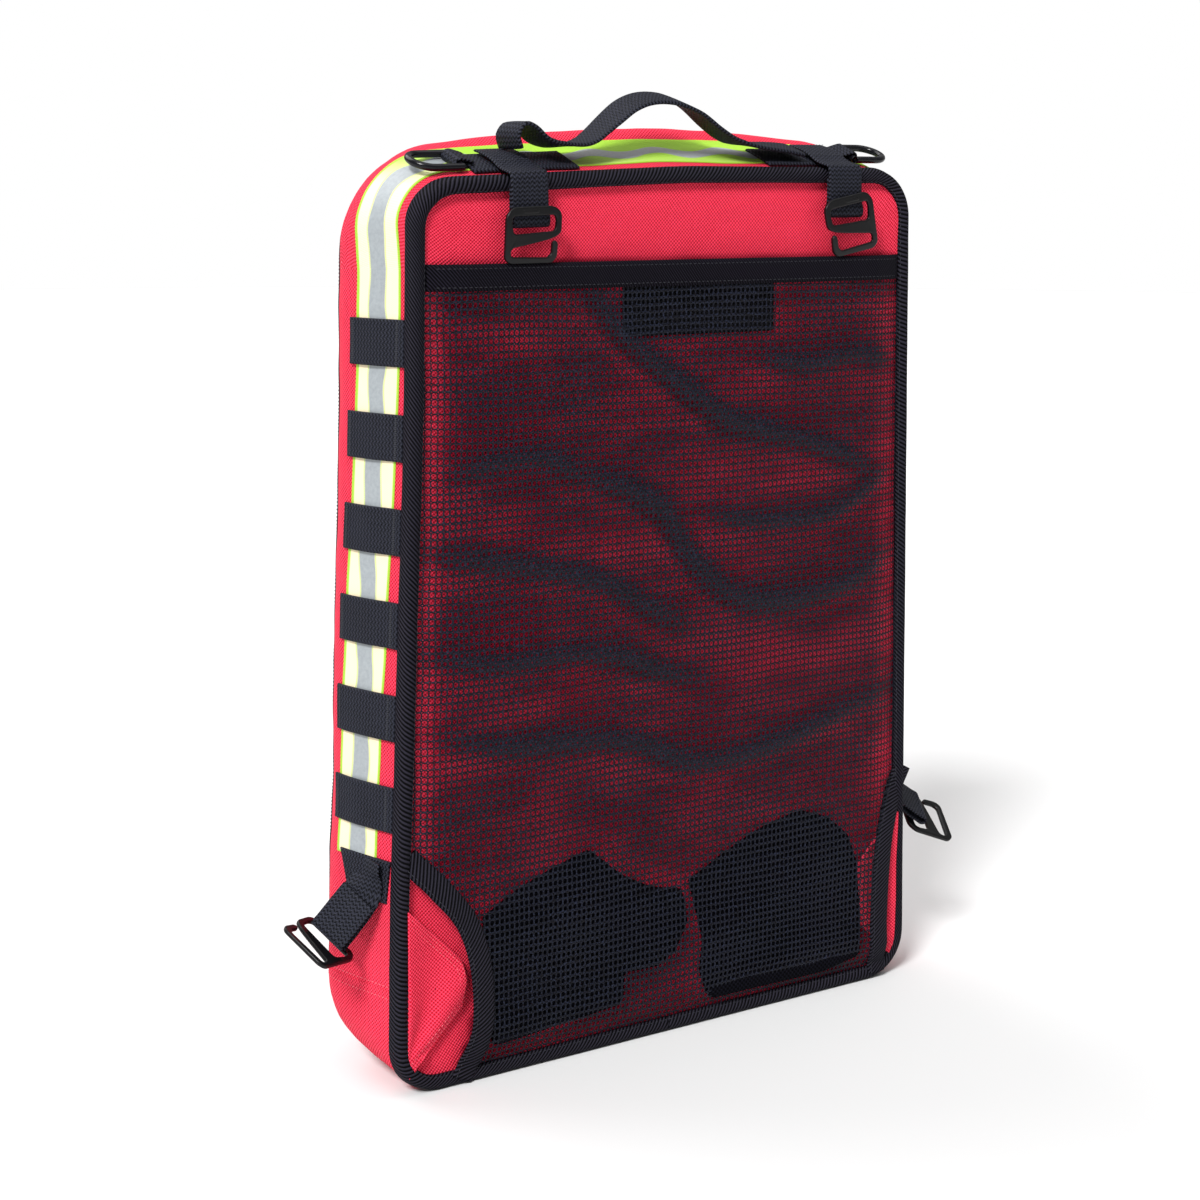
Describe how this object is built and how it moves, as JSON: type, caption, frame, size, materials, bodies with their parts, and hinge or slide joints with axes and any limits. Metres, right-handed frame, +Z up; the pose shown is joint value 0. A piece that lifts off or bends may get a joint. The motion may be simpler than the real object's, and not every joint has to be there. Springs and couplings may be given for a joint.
{
  "type": "trauma backpack",
  "caption": "Slim clamshell medical backpack with a mesh-pocketed rear panel, webbing bars over high-visibility side tape, a carry handle and hooks for a detachable harness.",
  "frame": {"origin": "middle of the flat base that the pack stands on", "axes": "+Z up; -Y is the rear, where the harness and the mesh pocket are; +Y is the front, where the lid opens; +X is the side that is on the right when looking at the rear"},
  "size_m": [0.4736, 0.1151, 0.5492],
  "materials": {
    "red_fabric": "woven, padded",
    "foam": "soft foam",
    "frame_plastic": "matt",
    "lining": "brushed loop",
    "shelf_fabric": "woven, padded",
    "elastic": "ribbed",
    "binding": "twill",
    "mesh": "open knit",
    "loop_fabric": "brushed loop",
    "harness": "padded",
    "reflective_tape": "high-visibility with silver stripe",
    "webbing": "ribbed webbing",
    "zip_tape": "coil zip",
    "ring_metal": "black coated",
    "hook_metal": "black coated",
    "slider_metal": "black coated",
    "pull_metal": "black coated"
  },
  "bodies": {
    "pack_body": {"rear_cover": "red_fabric", "gusset_left": "red_fabric", "gusset_right": "red_fabric", "gusset_top": "red_fabric", "gusset_base": "red_fabric", "rear_foam": "foam", "frame_sheet": "frame_plastic", "rear_lining": "lining", "shelf_lower": "shelf_fabric", "shelf_upper": "shelf_fabric", "lining_elastic": "elastic", "edge_binding": "binding", "mesh_pocket": "mesh", "pocket_hem": "binding", "corner_binding_left": "binding", "corner_binding_right": "binding", "corner_flap_left": "red_fabric", "corner_flap_right": "red_fabric", "loop_patch": "loop_fabric", "stowed_harness_left": "harness", "stowed_harness_right": "harness", "tape_left": "reflective_tape", "tape_right": "reflective_tape", "tape_top": "reflective_tape", "bars_left": "webbing", "bars_right": "webbing", "zip_tape_body": "zip_tape", "upper_root_left": "webbing", "upper_root_right": "webbing", "lower_patch_left": "webbing", "lower_patch_right": "webbing", "handle_end_left": "webbing", "handle_end_right": "webbing", "handle_anchor_left": "webbing", "handle_anchor_right": "webbing", "d_ring_loop_left": "webbing", "d_ring_loop_right": "webbing"},
    "lid": {"lid_cover": "red_fabric", "zip_tape_lid": "zip_tape", "lid_pocket": "mesh", "lid_elastic": "elastic", "front_loop_panel": "loop_fabric", "front_tape": "reflective_tape", "front_webbing": "webbing"},
    "slider_left": {"zip_slider_left": "slider_metal"},
    "slider_right": {"zip_slider_right": "slider_metal"},
    "pull_left": {"zip_pull_left": "pull_metal"},
    "pull_right": {"zip_pull_right": "pull_metal"},
    "handle": {"carry_handle": "webbing"},
    "ring_left": {"d_ring_left": "ring_metal"},
    "ring_right": {"d_ring_right": "ring_metal"},
    "upper_strap_left": {"upper_strap_left": "webbing"},
    "upper_strap_right": {"upper_strap_right": "webbing"},
    "upper_hook_left": {"upper_hook_left": "hook_metal"},
    "upper_hook_right": {"upper_hook_right": "hook_metal"},
    "lower_strap_left": {"lower_strap_left": "webbing"},
    "lower_strap_right": {"lower_strap_right": "webbing"},
    "lower_hook_left": {"lower_hook_left": "hook_metal"},
    "lower_hook_right": {"lower_hook_right": "hook_metal"}
  },
  "joints": [
    {"name": "lid_hinge", "type": "hinge", "parent": "pack_body", "child": "lid", "pos_m": [0, 0.057, 0.032], "axis": [-1, 0, 0], "range_deg": [0, 90]},
    {"name": "zip_slide_left", "type": "slide", "parent": "pack_body", "child": "slider_left", "axis": [-1, 0, 0], "range_m": [0, 0.1]},
    {"name": "pull_hinge_left", "type": "hinge", "parent": "slider_left", "child": "pull_left", "pos_m": [-0.011, 0.03772, 0.51842], "axis": [1, 0, 0], "range_deg": [0, 150]},
    {"name": "zip_slide_right", "type": "slide", "parent": "pack_body", "child": "slider_right", "axis": [1, 0, 0], "range_m": [0, 0.1]},
    {"name": "pull_hinge_right", "type": "hinge", "parent": "slider_right", "child": "pull_right", "pos_m": [0.011, 0.03772, 0.51842], "axis": [1, 0, 0], "range_deg": [0, 150]},
    {"name": "handle_fold", "type": "hinge", "parent": "pack_body", "child": "handle", "pos_m": [0, -0.02, 0.5303], "axis": [1, 0, 0], "range_deg": [-40, 40], "stiffness_Nm_per_rad": 0.2},
    {"name": "ring_hinge_left", "type": "hinge", "parent": "pack_body", "child": "ring_left", "pos_m": [-0.137, -0.019, 0.51892], "axis": [0, 0.9363, 0.3511], "range_deg": [0, 150]},
    {"name": "ring_hinge_right", "type": "hinge", "parent": "pack_body", "child": "ring_right", "pos_m": [0.143, -0.019, 0.51892], "axis": [0, -0.9363, -0.3511], "range_deg": [0, 150]},
    {"name": "upper_strap_hinge_left", "type": "hinge", "parent": "pack_body", "child": "upper_strap_left", "pos_m": [-0.106, -0.0464, 0.5096], "axis": [-1, 0, 0], "range_deg": [0, 90]},
    {"name": "upper_hook_hinge_left", "type": "hinge", "parent": "upper_strap_left", "child": "upper_hook_left", "pos_m": [-0.106, -0.047, 0.4778], "axis": [-1, 0, 0], "range_deg": [0, 15]},
    {"name": "upper_strap_hinge_right", "type": "hinge", "parent": "pack_body", "child": "upper_strap_right", "pos_m": [0.12, -0.0464, 0.5096], "axis": [-1, 0, 0], "range_deg": [0, 90]},
    {"name": "upper_hook_hinge_right", "type": "hinge", "parent": "upper_strap_right", "child": "upper_hook_right", "pos_m": [0.12, -0.047, 0.4843], "axis": [-1, 0, 0], "range_deg": [0, 15]},
    {"name": "lower_strap_hinge_left", "type": "hinge", "parent": "pack_body", "child": "lower_strap_left", "pos_m": [-0.19234, -0.02, 0.113], "axis": [-0.3399, 0.7998, 0.4948], "range_deg": [-12, 60], "stiffness_Nm_per_rad": 0.4},
    {"name": "lower_hook_hinge_left", "type": "hinge", "parent": "lower_strap_left", "child": "lower_hook_left", "pos_m": [-0.20748, -0.01325, 0.09168], "axis": [-0.3399, 0.7998, 0.4948], "range_deg": [-70, 12], "stiffness_Nm_per_rad": 0.2},
    {"name": "lower_strap_hinge_right", "type": "hinge", "parent": "pack_body", "child": "lower_strap_right", "pos_m": [0.19234, -0.02, 0.113], "axis": [-0.3399, -0.7998, -0.4948], "range_deg": [-30, 35], "stiffness_Nm_per_rad": 0.4},
    {"name": "lower_hook_hinge_right", "type": "hinge", "parent": "lower_strap_right", "child": "lower_hook_right", "pos_m": [0.21402, -0.01926, 0.09691], "axis": [-0.3399, -0.7998, -0.4948], "range_deg": [-12, 70], "stiffness_Nm_per_rad": 0.2}
  ]
}
